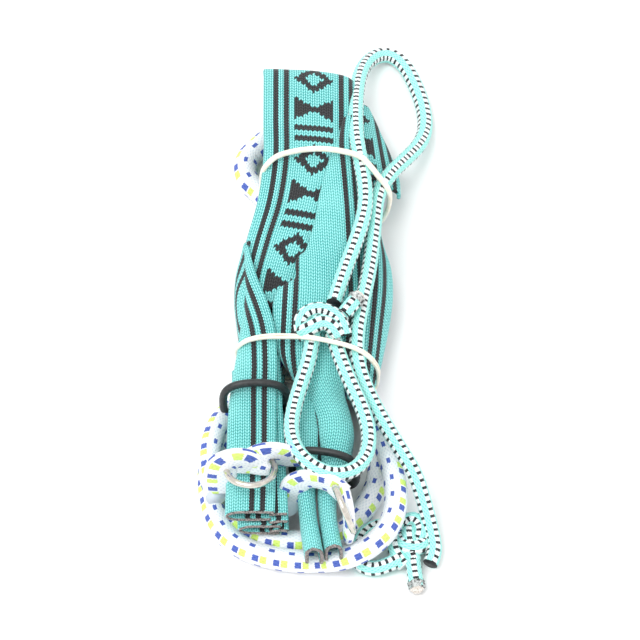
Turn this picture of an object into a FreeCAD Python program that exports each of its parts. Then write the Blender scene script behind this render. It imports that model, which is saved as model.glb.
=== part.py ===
import FreeCAD, Part
import math
import os

# Bundled tow rope handle set: two folded webbing handles with rubber keeper rings and steel rings,
# a hank of white tow rope under them, a thin leash cord over them, and two rubber bands round it all.
# Millimetres. The bundle lies on the plane z = 0 with its length along Y and its open end towards -Y.
# The origin is under the middle of the bundle.

Vector = FreeCAD.Vector
Rotation = FreeCAD.Rotation
Placement = FreeCAD.Placement

doc = FreeCAD.newDocument("tow_rope_handle")

# ---------------------------------------------------------------- driving dimensions
DIMENSIONS = [
    ("webbing_thick", 1.7),
    ("rope_dia", 9.0),
    ("cord_dia", 6.0),
    ("handle_width", 20.6),       # a handle's strap folded in two along its length
    ("fold_height", 6.5),         # one folded strap
    ("fold_gap", 0.4),            # air between two folded straps
    ("fold_radius", 3.2),         # outer corner of a folded strap
    ("handle_mid_z", 16.6),
    ("left_handle_x", -24.4),
    ("left_handle_length", 66.0),
    ("left_handle_end_y", -100.0),
    ("right_handle_x", 0.6),
    ("right_handle_width", 18.6),
    ("right_handle_length", 50.5),
    ("right_handle_end_y", -85.5),
    ("leg_width", 6.9),
    ("leg_height", 10.8),
    ("leg_mid_z", 15.2),
    ("leg_length", 29.0),
    ("leg_spread", 3.6),          # half the distance between the two legs' middles
    ("leg_start_x", -1.6),
    ("leg_turn", 6.0),            # degrees that the legs swing towards +X
    ("keeper_wire", 3.0),
    ("keeper_clearance", 0.3),
    ("left_keeper_y", -46.0),
    ("right_keeper_x", 1.6),
    ("right_keeper_y", -77.0),
    ("ring_mid_radius", 9.0),
    ("ring_wire", 3.0),
    ("left_ring_x", -25.9),
    ("left_ring_y", -84.6),
    ("left_ring_z", 28.0),
    ("left_ring_tilt", -13.5),    # degrees about X: the near rim stands up
    ("right_ring_x", 9.0),
    ("right_ring_y", -101.6),
    ("right_ring_z", 26.4),
    ("band_width", 2.4),
    ("band_thick", 1.0),
    ("hank_layer", 9.0),          # one layer of rope
]

sheet = doc.addObject("Spreadsheet::Sheet", "dimensions")
for row, (alias, value) in enumerate(DIMENSIONS, start=1):
    sheet.set(f"A{row}", alias)
    sheet.set(f"B{row}", str(value))
    sheet.setAlias(f"B{row}", alias)
doc.recompute()
SIZE = {alias: float(getattr(sheet, alias)) for alias, _ in DIMENSIONS}

parts = []  # every object that becomes one STEP file


# ---------------------------------------------------------------- shared builders
def new_body(name):
    body = doc.addObject("PartDesign::Body", name)
    body.Label = name
    parts.append(body)
    return body


def sketch_on(body, name, role):
    """A sketch on one of the body's own origin planes."""
    sketch = body.newObject("Sketcher::SketchObject", name)
    plane = next(f for f in body.Origin.OriginFeatures if f.Role == role)
    sketch.AttachmentSupport = [(plane, "")]
    sketch.MapMode = "FlatFace"
    return sketch


def rounded_rectangle(sketch, x_mid, y_mid, width, height, radius):
    """Four lines and four arcs, drawn anticlockwise and joined tangentially."""
    right, top = width / 2 - radius, height / 2 - radius
    corners = [(right, top, 0), (-right, top, 90), (-right, -top, 180), (right, -top, 270)]
    ends = []
    for x, y, start in corners:
        middle = Vector(x_mid + x, y_mid + y, 0)
        circle = Part.Circle(middle, Vector(0, 0, 1), radius)
        arc = Part.ArcOfCircle(circle, math.radians(start), math.radians(start + 90))
        sketch.addGeometry(arc, False)
        ends.append((arc.StartPoint, arc.EndPoint))
    for i, (_, leaves) in enumerate(ends):
        meets = ends[(i + 1) % 4][0]
        if (meets - leaves).Length > 1e-6:
            sketch.addGeometry(Part.LineSegment(leaves, meets), False)


def pad(body, sketch, name, length, reverse=False):
    feature = body.newObject("PartDesign::Pad", name)
    feature.Profile = sketch
    feature.setExpression("Length", length)
    feature.Reversed = reverse
    body.Tip = feature
    return feature


def feature_of(name, shape):
    """A sub-part whose shape is computed here from the sheet's values."""
    feature = doc.addObject("Part::Feature", name)
    feature.Label = name
    feature.Shape = shape
    parts.append(feature)
    return feature


def polygon(corners):
    return Part.makePolygon([*corners, corners[0]])


def strap(name, edges, thickness):
    """Webbing laid along stations of its upper face: each is (left edge, right edge)."""
    middles = [(Vector(*a) + Vector(*b)) * 0.5 for a, b in edges]
    sections = []
    for i, (left, right) in enumerate(edges):
        along = middles[min(i + 1, len(middles) - 1)] - middles[max(i - 1, 0)]
        left, right = Vector(*left), Vector(*right)
        down = along.cross(right - left).normalize() * thickness
        if down.z > 0:
            down = down * -1
        sections.append(polygon([left, right, right + down, left + down]))
    return feature_of(name, Part.makeLoft(sections, True, True))


def tube(name, route, diameter):
    """A cord's stretch: straight runs joined by the largest tangent arcs that they allow."""
    points = [Vector(*p) for p in route]
    edges, start, radii = [], points[0], []
    for before, corner, after in zip(points, points[1:], points[2:]):
        back, ahead = (before - corner).normalize(), (after - corner).normalize()
        turn = math.pi - back.getAngle(ahead)
        reach = 0.45 * min((before - corner).Length, (after - corner).Length)
        radii.append(reach / math.tan(turn / 2))
        enters, leaves = corner + back * reach, corner + ahead * reach
        middle = (back + ahead).normalize() * (radii[-1] / math.cos(turn / 2) - radii[-1])
        edges.append(Part.LineSegment(start, enters).toShape())
        edges.append(Part.Arc(enters, corner + middle, leaves).toShape())
        start = leaves
    edges.append(Part.LineSegment(start, points[-1]).toShape())
    path = Part.Wire(edges)
    first = points[1] - points[0]
    section = Part.Wire(Part.Circle(points[0], first, diameter / 2).toShape())
    solid = path.makePipeShell([section], True, False, 2)
    ideal = math.pi * diameter ** 2 / 4 * path.Length
    print(f"{name}: {path.Length:.0f} mm, volume {solid.Volume / ideal:.4f} of section x length,",
          "radii", [round(r, 1) for r in radii])
    return feature_of(name, solid)


# ---------------------------------------------------------------- folded webbing
def folded_strap(name, width, height, radius, length, opens):
    """A strap folded in two along its length, as a channel along Y with its slot open to one side."""
    wall = SIZE["webbing_thick"]
    body = new_body(name)
    outline = sketch_on(body, name + "_outline", "XZ_Plane")
    rounded_rectangle(outline, 0, 0, width, height, radius)
    pad(body, outline, name + "_pad", length, reverse=True)
    slot = sketch_on(body, name + "_slot", "XZ_Plane")
    if opens == "right":
        low, high, left, right = -height / 2 + wall, height / 2 - wall, -width / 2 + wall, width
    else:
        low, high, left, right = -height, height / 2 - wall, -width / 2 + wall, width / 2 - wall
    corners = [(left, low), (right, low), (right, high), (left, high)]
    for (ax, ay), (bx, by) in zip(corners, corners[1:] + corners[:1]):
        slot.addGeometry(Part.LineSegment(Vector(ax, ay, 0), Vector(bx, by, 0)), False)
    doc.recompute()
    cut = body.newObject("PartDesign::Pocket", name + "_cut")
    cut.Profile = slot
    cut.Type = "ThroughAll"
    cut.Midplane = True
    body.Tip = cut
    return body


def place(body, x, y, z, turn=0.0):
    """Binds a body's place to expressions over the sheet; turn is in degrees about Z."""
    body.Placement = Placement(Vector(0, 0, 0), Rotation(Vector(0, 0, 1), turn))
    for axis, text in zip("xyz", (x, y, z)):
        body.setExpression(f"Placement.Base.{axis}", text)


# The left handle is two folded straps, one on the other.
upper_fold = folded_strap("left_handle_upper_fold", SIZE["handle_width"], SIZE["fold_height"],
                          SIZE["fold_radius"], "dimensions.left_handle_length", "right")
place(upper_fold, "dimensions.left_handle_x", "dimensions.left_handle_end_y",
      "dimensions.handle_mid_z + (dimensions.fold_height + dimensions.fold_gap) / 2")
lower_fold = folded_strap("left_handle_lower_fold", SIZE["handle_width"], SIZE["fold_height"],
                          SIZE["fold_radius"], "dimensions.left_handle_length", "right")
place(lower_fold, "dimensions.left_handle_x", "dimensions.left_handle_end_y",
      "dimensions.handle_mid_z - (dimensions.fold_height + dimensions.fold_gap) / 2")

# The right handle is one channel that parts into two legs.
HANDLE_HEIGHT = 2 * SIZE["fold_height"] + SIZE["fold_gap"]
right_handle = folded_strap("right_handle_body", SIZE["right_handle_width"], HANDLE_HEIGHT, 4.2,
                            "dimensions.right_handle_length", "down")
place(right_handle, "dimensions.right_handle_x", "dimensions.right_handle_end_y",
      "dimensions.handle_mid_z")
for side, sign in (("left", "-"), ("right", "+")):
    leg = folded_strap(f"right_handle_{side}_leg", SIZE["leg_width"], SIZE["leg_height"], 3.2,
                       "dimensions.leg_length", "down")
    place(leg, f"dimensions.leg_start_x {sign} dimensions.leg_spread"
               " + dimensions.leg_length * sin(dimensions.leg_turn)",
          "dimensions.right_handle_end_y - 0.8 - dimensions.leg_length * cos(dimensions.leg_turn)",
          "dimensions.leg_mid_z", turn=SIZE["leg_turn"])

# Lays of webbing held under the two rubber bands, from the bottom of the stack to the top.
THICK = SIZE["webbing_thick"]


def core():
    """The inner folds of webbing, as one pad over the rope."""
    floor = 17.6
    stations = [
        ((-20, 98, 18.6), (8, 97, 18.2)),
        ((-20, 80, 21.6), (9, 78, 20.2)),
        ((-20, 56, 23.4), (10, 54, 22.6)),
        ((-25, 25, 21.4), (11, 18, 22.4)),
        ((-26, -5, 20.2), (12, -8, 21.6)),
        ((-22, -30, 20.6), (12, -31, 21.4)),
    ]
    sections = []
    for left, right in stations:
        left, right = Vector(*left), Vector(*right)
        sections.append(polygon([left, right, Vector(right.x, right.y, floor),
                                 Vector(left.x, left.y, floor)]))
    feature_of("inner_webbing_folds", Part.makeLoft(sections, True, True))


core()
strap("right_side_lay", [
    ((19, 58, 19.5), (25, 57, 11.5)),
    ((19, 25, 19.5), (27.4, 21, 11)),
    ((17.5, -5, 19.5), (27.4, -8, 11)),
    ((15.8, -27, 19.4), (24.4, -29, 11)),
], THICK)
strap("top_right_lay", [
    ((11.6, 93, 11.6), (18, 92, 11.2)),
    ((13, 80, 14.8), (25, 78, 12.2)),
    ((14.5, 66, 17.2), (30.3, 64, 12.2)),
    ((16, 59.5, 18), (31.2, 57, 12)),
], THICK)
strap("front_patterned_lay", [
    ((-21.3, 106.5, 20.5), (10.5, 104, 19.5)),
    ((-21.3, 82, 24), (10.5, 80, 22.5)),
    ((-21.3, 58, 26), (10.8, 56, 25)),
    ((-27.8, 25, 23.8), (9, 18, 24.8)),
    ((-26.4, 11, 22.6), (6, 3, 24.4)),
], THICK)
strap("left_side_lay", [
    ((-33.4, 25, 15.5), (-30.2, 20, 22.6)),
    ((-34.5, -2, 16), (-22.5, -2, 26)),
    ((-34.8, -20, 20.6), (-17.2, -20, 26.5)),
    ((-34.7, -33.4, 22.6), (-14.2, -33.4, 24.6)),
], THICK)
strap("centre_plain_lay", [
    ((4.5, 76, 25.8), (10.8, 75, 25.2)),
    ((3.8, 56, 28.4), (12.2, 54, 27.8)),
    ((-3.5, 22, 28.4), (13, 18, 27.8)),
    ((-12.6, -3, 27.4), (13.4, -8, 27)),
    ((-13.2, -34.4, 25.8), (10, -34.4, 25.8)),
], THICK)


# ---------------------------------------------------------------- keeper rings and steel rings
def keeper(name, x, y):
    """A rubber ring stretched oval round a handle: a round section swept along a rounded rectangle."""
    wire, gap = SIZE["keeper_wire"], SIZE["keeper_clearance"]
    width = SIZE["handle_width"] + 2 * gap + wire
    height = HANDLE_HEIGHT + 2 * gap + wire
    body = new_body(name)
    path = sketch_on(body, name + "_path", "XZ_Plane")
    rounded_rectangle(path, 0, 0, width, height, SIZE["fold_radius"] + gap + wire / 2)
    section = sketch_on(body, name + "_section", "XY_Plane")
    section.addGeometry(Part.Circle(Vector(width / 2, 0, 0), Vector(0, 0, 1), wire / 2), False)
    doc.recompute()
    pipe = body.newObject("PartDesign::AdditivePipe", name + "_pipe")
    pipe.Profile = section
    pipe.Spine = path
    body.Tip = pipe
    place(body, x, y, "dimensions.handle_mid_z")


keeper("left_keeper_ring", "dimensions.left_handle_x", "dimensions.left_keeper_y")
keeper("right_keeper_ring", "dimensions.right_keeper_x", "dimensions.right_keeper_y")


def steel_ring(name, side, turn):
    ring = doc.addObject("Part::Torus", name)
    ring.Label = name
    ring.setExpression("Radius1", "dimensions.ring_mid_radius")
    ring.setExpression("Radius2", "dimensions.ring_wire / 2")
    ring.Placement = Placement(Vector(0, 0, 0), turn)
    for axis in "xyz":
        ring.setExpression(f"Placement.Base.{axis}", f"dimensions.{side}_ring_{axis}")
    parts.append(ring)


RIGHT_RING_NORMAL = Vector(0.923, 0.315, 0.221)  # the ring stands beside the right leg
steel_ring("left_steel_ring", "left", Rotation(Vector(1, 0, 0), SIZE["left_ring_tilt"]))
steel_ring("right_steel_ring", "right", Rotation(Vector(0, 0, 1), RIGHT_RING_NORMAL))


# ---------------------------------------------------------------- tow rope
# A band's plane: its middle at the foot, its turn about Z and its lean towards +Y, in degrees.
UPPER_BAND = ((0, 49, 0), -13, -20)
LOWER_BAND = ((0, -28, 0), -10.5, 0)
GROOVE_WIDTH, GROOVE_DEPTH = 4.6, 2.8


def band_grooves(body):
    """Shallow grooves under the hank, where the rubber bands press into the rope."""
    half_length, half_width = 40, GROOVE_WIDTH / 2
    grooves = sketch_on(body, "band_grooves", "XY_Plane")
    for middle, turn, _ in (UPPER_BAND, LOWER_BAND):
        yaw = Rotation(Vector(0, 0, 1), turn)
        corners = []
        for x, y in ((-1, -1), (1, -1), (1, 1), (-1, 1)):
            corners.append(Vector(*middle) + yaw.multVec(Vector(x * half_length, y * half_width, 0)))
        for start, end in zip(corners, corners[1:] + corners[:1]):
            grooves.addGeometry(Part.LineSegment(start, end), False)
    doc.recompute()
    cut = body.newObject("PartDesign::Pocket", "band_groove_cut")
    cut.Profile = grooves
    cut.Length = 2 * GROOVE_DEPTH
    cut.Midplane = True
    body.Tip = cut


def hank(name, outline, hole, height, z):
    """A hank of rope as one closed pad of its outer shape, with the space that its turns go round."""
    body = new_body(name)
    edge = sketch_on(body, name + "_outline", "XY_Plane")
    for points in (outline, hole):
        if points:
            curve = Part.BSplineCurve()
            curve.interpolate([Vector(x, y, 0) for x, y in points], PeriodicFlag=True)
            edge.addGeometry(curve, False)
    pad(body, edge, name + "_pad", height)
    place(body, "0", "0", z)
    return body


hank_lower = hank("tow_rope_hank_lower", [
    (-9, -117), (-30, -112.5), (-42.5, -99), (-46.6, -80), (-46.6, -60), (-44.4, -43),
    (-38.4, -29.5), (-29.4, -21), (-23.6, -8), (-22.6, 20), (-22, 50), (-29.6, 69), (-30, 86), (-20, 106),
    (-5, 118.5), (10, 114), (22, 98), (24.5, 80), (19.4, 56), (18.6, 10), (19, -22),
    (20.6, -36), (26, -54), (27, -76), (17, -90), (10, -104), (4.6, -113.4),
], [
    (-10, -98), (-27, -97), (-37, -84), (-38, -60), (-36.6, -39), (-14, -33.6), (6, -36),
    (15.6, -52), (16.4, -76), (7, -93),
], "dimensions.hank_layer - 0.2", "0")
band_grooves(hank_lower)
hank("tow_rope_hank_upper", [
    (-14, 50), (-16, 20), (-16, -16), (-6, -29), (8, -31), (13.4, -40), (16.6, -56), (17.4, -78),
    (17.6, -92), (15.4, -106), (14, -118), (24, -115), (32.4, -101), (31.8, -82), (28.4, -58),
    (21, -41), (14.5, -28), (11, -10), (10.6, 20), (11.4, 48), (-1, 56),
], None, "dimensions.hank_layer - 0.8", "dimensions.hank_layer + 0.1")

tube("tow_rope_left_run", [
    (-17, -20, 12.8), (-25.6, -22.6, 12.8), (-36, -27.6, 13.2), (-42.6, -37, 13.4),
    (-43.4, -50.5, 13.6), (-42.9, -65, 13.4), (-43.2, -78, 13.6),
], SIZE["rope_dia"])

# Where the rope goes through each steel ring it is pressed flat, as a wide strap.
FLAT_ROPE = 2.6
strap("tow_rope_left_hitch", [
    ((-44.2, -89.6, 18.4), (-44.2, -79.2, 18.4)),
    ((-42.4, -89.8, 27), (-42.4, -79.4, 26)),
    ((-37.6, -90, 33.6), (-37.6, -79.4, 32)),
    ((-31, -90, 35), (-31, -79.2, 32.6)),
    ((-25.6, -89.6, 34.2), (-25.6, -78.6, 32.2)),
    ((-20, -88.2, 34.6), (-20, -77.2, 32.4)),
    ((-15, -85.4, 33), (-15, -74.4, 31)),
], FLAT_ROPE)
strap("tow_rope_right_hitch", [
    ((-11.4, -93, 12), (-11.4, -84.2, 12)),
    ((-11.2, -93, 21.5), (-11.2, -84.2, 21.5)),
    ((-6.4, -93.2, 28.2), (-6.4, -84.2, 28.2)),
    ((-0.6, -93.4, 28.6), (-0.6, -84, 28.6)),
], FLAT_ROPE)


# ---------------------------------------------------------------- leash cord
CORD = SIZE["cord_dia"]


def knot(name, middle, radii, turn):
    """A knot as one closed solid of its outer shape."""
    ball = Part.makeSphere(1.0)
    stretch = FreeCAD.Matrix()
    stretch.scale(Vector(*radii))
    feature = feature_of(name, ball.transformGeometry(stretch))
    feature.Placement = Placement(Vector(*middle), Rotation(Vector(0, 0, 1), turn))


knot("leash_upper_knot", (2.4, -18.6, 33.6), (10.5, 7.4, 5.6), -8)
knot("leash_lower_knot", (35.6, -101.8, 4.5), (6.6, 9.5, 4.4), 20)

tube("leash_upper_end", [(10.4, -17, 35.2), (12.8, -13.6, 35.6), (15, -10.8, 35.8)], CORD)
tube("leash_cord_run", [
    (5.2, -12.6, 33.2), (8.6, 1, 32.4), (13.2, 16, 31.2), (17, 31, 30.2), (17.4, 43, 29.2),
    (15.6, 56, 28.6), (13.8, 70, 26.2), (13.6, 84, 22.0), (14, 97, 16.4), (15, 108.4, 12.2),
    (17.4, 118, 7.8), (21.6, 124.6, 4.4), (27.4, 126, 3.2), (32.6, 121.2, 3.2), (36.6, 112, 3.3),
    (39.8, 101, 3.6), (40.8, 90, 4.6), (38.4, 79.4, 8.0), (32.6, 68, 14.0), (26.4, 57, 19.8),
    (21.6, 45, 23.6), (20.4, 27, 24.8), (18.8, 8, 26.6),
    (15.8, -10, 29.2), (13.6, -26, 30), (14.2, -38, 28.2), (18.4, -49, 25.2), (23.8, -60, 23.4),
    (29.4, -70, 21.6), (35.8, -80, 18.2), (39.4, -89.5, 11.2), (42, -98, 5.4), (43.2, -106, 3.7),
    (41.2, -110.6, 3.3),
], CORD)
tube("leash_hand_loop", [
    (-2.5, -25.5, 32.0), (-3.8, -36, 30.6), (-7, -47, 30.2), (-9.8, -58, 30.0), (-11, -69, 31.6),
    (-9.4, -79.4, 34.0), (-3.6, -86.6, 33.4), (4.4, -89.6, 31.6), (12.6, -86.6, 29.6), (17.6, -78.4, 27.4),
    (18.6, -67.4, 27.0), (15.8, -56.6, 28.4), (11.4, -46.6, 30.0), (7.4, -36, 31.2),
    (4.6, -25.5, 32.0),
], CORD)
tube("leash_lower_loop", [
    (32.5, -95, 5.2), (25.5, -92.4, 3.4), (17.5, -95.6, 3.1), (13.8, -103.2, 3.1), (14.5, -111, 3.1),
    (22, -113.4, 3.1), (30, -109, 4.6),
], CORD)
tube("leash_lower_end", [(33.4, -110.8, 4.0), (35.2, -118.6, 3.4), (36, -127.4, 3.2)], CORD)


# ---------------------------------------------------------------- rubber bands
def band(name, loop, plane):
    """A stretched rubber band: a thin closed strip in a plane that is turned about Z and leans back."""
    body = new_body(name)
    outline = sketch_on(body, name + "_outline", "XZ_Plane")
    for grow in (0.0, SIZE["band_thick"]):
        centre_x = sum(x for x, _ in loop) / len(loop)
        centre_z = sum(z for _, z in loop) / len(loop)
        points = []
        for x, z in loop:
            out = Vector(x - centre_x, z - centre_z, 0).normalize() * grow
            points.append(Vector(x, z, 0) + out)
        curve = Part.BSplineCurve()
        curve.interpolate(points, PeriodicFlag=True)
        outline.addGeometry(curve, False)
    feature = pad(body, outline, name + "_pad", "dimensions.band_width")
    feature.Midplane = True
    middle, turn, tilt = plane
    lean = Rotation(Vector(1, 0, 0), tilt)
    yaw = Rotation(Vector(0, 0, 1), turn)
    body.Placement = Placement(Vector(*middle), yaw.multiply(lean))


band("upper_rubber_band", [
    (-23.8, 4), (-27, 10), (-26, 21), (-23.4, 28), (-12, 32.4), (2, 35), (12, 36.8),
    (19.6, 38.6), (26.6, 32.6), (31, 22), (28.4, 12), (22, 4), (12, 2.5), (0, 2.3),
    (-12, 2.5),
], UPPER_BAND)
band("lower_rubber_band", [
    (-26, 2.8), (-33, 6.8), (-36, 14), (-34, 23), (-20, 29.8), (-6, 34.8), (6, 35.6),
    (14, 35.6), (21, 31), (26, 20), (26.4, 8.6), (21.6, 3.2), (12, 1.9), (0, 1.6),
    (-14, 1.9),
], LOWER_BAND)

# ---------------------------------------------------------------- check and write
doc.recompute()
for thing in doc.Objects:
    for state in ("Invalid", "Error"):
        if state in thing.State:
            raise RuntimeError(f"{thing.Label} is {state}")

os.makedirs("parts", exist_ok=True)
for old in os.listdir("parts"):
    os.remove(os.path.join("parts", old))
for part in parts:
    shape = part.Shape
    if shape.isNull() or not shape.isValid() or not shape.Solids or shape.Volume <= 0:
        raise RuntimeError(f"{part.Label} has no valid solid")
    shape.exportStep(f"parts/{part.Label}.step")
print(len(parts), "parts")
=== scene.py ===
"""Visual model of the bundled tow rope handle set: webbing, rope, leash cord, rings and rubber bands.

Routes and stations are in millimetres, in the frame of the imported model. +Y runs towards the looped end.
"""

import math

import bpy
import numpy as np
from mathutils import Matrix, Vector, noise


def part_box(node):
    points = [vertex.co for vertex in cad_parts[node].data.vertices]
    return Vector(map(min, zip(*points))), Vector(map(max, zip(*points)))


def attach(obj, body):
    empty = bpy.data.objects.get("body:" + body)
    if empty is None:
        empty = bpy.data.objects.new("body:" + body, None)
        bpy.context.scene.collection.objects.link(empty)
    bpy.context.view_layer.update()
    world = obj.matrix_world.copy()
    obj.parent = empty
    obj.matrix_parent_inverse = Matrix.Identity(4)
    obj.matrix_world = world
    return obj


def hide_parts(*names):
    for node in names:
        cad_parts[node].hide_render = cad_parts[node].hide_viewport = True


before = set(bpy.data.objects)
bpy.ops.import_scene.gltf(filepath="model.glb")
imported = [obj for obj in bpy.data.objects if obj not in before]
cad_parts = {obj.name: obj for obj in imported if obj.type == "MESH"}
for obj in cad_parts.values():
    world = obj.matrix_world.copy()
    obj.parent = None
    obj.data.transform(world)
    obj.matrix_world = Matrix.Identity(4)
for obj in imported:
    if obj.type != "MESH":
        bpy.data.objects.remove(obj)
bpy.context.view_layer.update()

MM = 0.001
LAY_UV = "lay"  # across and along a piece: millimetres on webbing, turns and millimetres on a cord
WEBBING_WIDTH = 38.0
WEBBING_THICK = 1.4
ROPE = 9.0
CORD = 6.0


# ---------------------------------------------------------------- node formulas
class Term:
    """A socket or number that can be used in a formula of shader math nodes."""

    def __init__(self, tree, source):
        self.tree = tree
        self.source = source

    def apply(self, operation, *others):
        node = self.tree.nodes.new("ShaderNodeMath")
        node.operation = operation
        for slot, value in zip(node.inputs, (self, *others)):
            value = value.source if isinstance(value, Term) else value
            if isinstance(value, (int, float)):
                slot.default_value = value
            else:
                self.tree.links.new(value, slot)
        return Term(self.tree, node.outputs[0])

    def __add__(self, other):
        return self.apply("ADD", other)

    def __sub__(self, other):
        return self.apply("SUBTRACT", other)

    def __rsub__(self, other):
        return Term(self.tree, other).apply("SUBTRACT", self)

    def __mul__(self, other):
        return self.apply("MULTIPLY", other)

    __radd__ = __add__
    __rmul__ = __mul__

    def __truediv__(self, other):
        return self.apply("DIVIDE", other)

    def below(self, other):
        return self.apply("LESS_THAN", other)

    def above(self, other):
        return self.apply("GREATER_THAN", other)

    def most(self, other):
        return self.apply("MAXIMUM", other)

    def least(self, other):
        return self.apply("MINIMUM", other)

    def floor(self):
        return self.apply("FLOOR")

    def part(self):
        return self.apply("FRACT")

    def size(self):
        return self.apply("ABSOLUTE")

    def wave(self):
        return self.apply("SINE")

    def clamp(self):
        return self.most(0.0).least(1.0)


class Paint:
    """A material and the few nodes that every material here is made of."""

    def __init__(self, name, roughness, metallic=0.0, specular=0.5, sheen=0.0):
        self.material = bpy.data.materials.new(name)
        self.material.use_nodes = True
        self.tree = self.material.node_tree
        self.shader = self.tree.nodes["Principled BSDF"]
        self.shader.inputs["Roughness"].default_value = roughness
        self.shader.inputs["Metallic"].default_value = metallic
        self.shader.inputs["Specular IOR Level"].default_value = specular
        self.shader.inputs["Sheen Weight"].default_value = sheen

    def lay(self):
        """The two coordinates of the piece's own UV layer."""
        node = self.tree.nodes.new("ShaderNodeUVMap")
        node.uv_map = LAY_UV
        split = self.tree.nodes.new("ShaderNodeSeparateXYZ")
        self.tree.links.new(node.outputs["UV"], split.inputs[0])
        return Term(self.tree, split.outputs["X"]), Term(self.tree, split.outputs["Y"])

    def noise(self, scale, detail=3.0):
        """Noise in the object's own metres, so that it doesn't slide in other views."""
        place = self.tree.nodes.new("ShaderNodeTexCoord")
        node = self.tree.nodes.new("ShaderNodeTexNoise")
        node.inputs["Scale"].default_value = scale
        node.inputs["Detail"].default_value = detail
        self.tree.links.new(place.outputs["Object"], node.inputs["Vector"])
        return Term(self.tree, node.outputs["Fac"])

    def blend(self, factor, first, second):
        """Colours first and second, mixed by factor."""
        node = self.tree.nodes.new("ShaderNodeMix")
        node.data_type = "RGBA"
        self.tree.links.new(factor.clamp().source, node.inputs["Factor"])
        for slot, colour in ((node.inputs["A"], first), (node.inputs["B"], second)):
            if isinstance(colour, tuple):
                slot.default_value = (*colour, 1.0)
            else:
                self.tree.links.new(colour, slot)
        return node.outputs["Result"]

    def colour(self, source):
        self.tree.links.new(source, self.shader.inputs["Base Color"])

    def bump(self, height, depth):
        node = self.tree.nodes.new("ShaderNodeBump")
        node.inputs["Strength"].default_value = 1.0
        node.inputs["Distance"].default_value = depth * MM
        self.tree.links.new(height.source, node.inputs["Height"])
        self.tree.links.new(node.outputs["Normal"], self.shader.inputs["Normal"])

    def rough(self, term):
        self.tree.links.new(term.source, self.shader.inputs["Roughness"])


def rgb(red, green, blue):
    """A screen colour, 0 to 255, as linear light."""
    values = [c / 255 for c in (red, green, blue)]
    return tuple(v / 12.92 if v <= 0.04045 else ((v + 0.055) / 1.055) ** 2.4 for v in values)


# ---------------------------------------------------------------- materials
STITCH_ACROSS = 0.88
STITCH_ALONG = 1.38
STRIPES = (4.4, 8.4, 29.6, 33.7)
STRIPE_HALF = 1.0


def webbing_paint(name, patterned):
    """Teal webbing with woven black stripes and, on its printed face, bars, diamonds and bows."""
    paint = Paint(name, roughness=0.72, specular=0.3, sheen=0.15)
    across, along = paint.lay()
    column = (across / STITCH_ACROSS).floor()
    side = (across / STITCH_ACROSS).part() - 0.5
    leaning = (column * 0.5).part() * 4.0 - 1.0
    rows = along / STITCH_ALONG + side * leaning * 0.6
    end = rows.part() - 0.5
    lens = (1.0 - side * side * 4.2 - end * end * 3.4).clamp()
    # Woven figures are made of whole stitches.
    x = (column + 0.5) * STITCH_ACROSS
    y = (rows.floor() + 0.5) * STITCH_ALONG
    ripple = (along * (2 * math.pi / STITCH_ALONG)).wave() * 0.13
    black = (across + ripple - STRIPES[0]).size().below(STRIPE_HALF)
    for middle in STRIPES[1:]:
        black = black.most((across + ripple - middle).size().below(STRIPE_HALF))
    if patterned:
        black = black.most(woven_figures(x, y))
    weave = paint.noise(9000.0, 2.0)
    broad = paint.noise(60.0, 2.0)
    # Painted light and shade: each stitch's crown is painted lighter and its grooves darker, and noise adds
    # random tone. Teal and black are each blended between a shaded copy and a lit copy.
    painted_light_and_tone = (lens * 1.15 + weave * 0.35 + broad * 0.5 - 0.32).clamp()
    teal = paint.blend(painted_light_and_tone, rgb(34, 156, 154), rgb(164, 250, 248))
    dark = paint.blend(painted_light_and_tone, rgb(18, 19, 21), rgb(58, 60, 62))
    paint.colour(paint.blend(black, teal, dark))
    paint.bump(lens + weave * 0.2, 0.34)
    return paint.material


def woven_figures(x, y):
    """One where the printed face is black: bars, a diamond ring and a filled bow that repeat."""
    repeat = 41.4
    middle, half = 19.0, 7.4
    aside = (x - middle).size()
    place = (y / repeat).part() * repeat
    figure = (place - 1.8).size().below(1.5)
    figure = figure.most((place - 7.0).size().below(1.5))
    ring = ((place - 17.4).size() + aside - 5.6).size().below(1.9)
    figure = figure.most(ring)
    figure = figure.most((place - 33.0).size().below(aside * 0.62 + 0.9))
    return figure * aside.below(half)


def cord_paint(name):
    """Pale teal braid with four rows of black and white dashes."""
    paint = Paint(name, roughness=0.62, specular=0.3, sheen=0.1)
    around, along = paint.lay()
    row = (around * 4.0 + 0.5).part() - 0.5
    in_row = row.size().below(0.235)
    step = (along / 2.75 + row.size() * 0.12).part()
    picks = (row * 12.0 * math.pi).wave() * 0.035
    dash = (step + picks).below(0.38)
    braid_a = (around * 16.0 + along / 1.9).part() - 0.5
    braid_b = (around * 16.0 - along / 1.9).part() - 0.5
    height = (0.5 - (braid_a * braid_b).size() * 2.2 - braid_a.size() * 0.3).clamp()
    # Painted light and shade: braid crowns are painted lighter and grooves darker in teal, white and black
    # alike, and noise adds random tone.
    painted_light_and_tone = (height * 1.6 + paint.noise(5000.0) * 0.4).clamp()
    teal = paint.blend(painted_light_and_tone, rgb(98, 212, 200), rgb(186, 246, 240))
    white = paint.blend(painted_light_and_tone, rgb(205, 224, 224), rgb(250, 253, 252))
    black = paint.blend(painted_light_and_tone, rgb(14, 15, 17), rgb(52, 54, 58))
    lines = paint.blend(dash, white, black)
    paint.colour(paint.blend(in_row, teal, lines))
    paint.bump(height, 0.3)
    return paint.material


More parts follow.
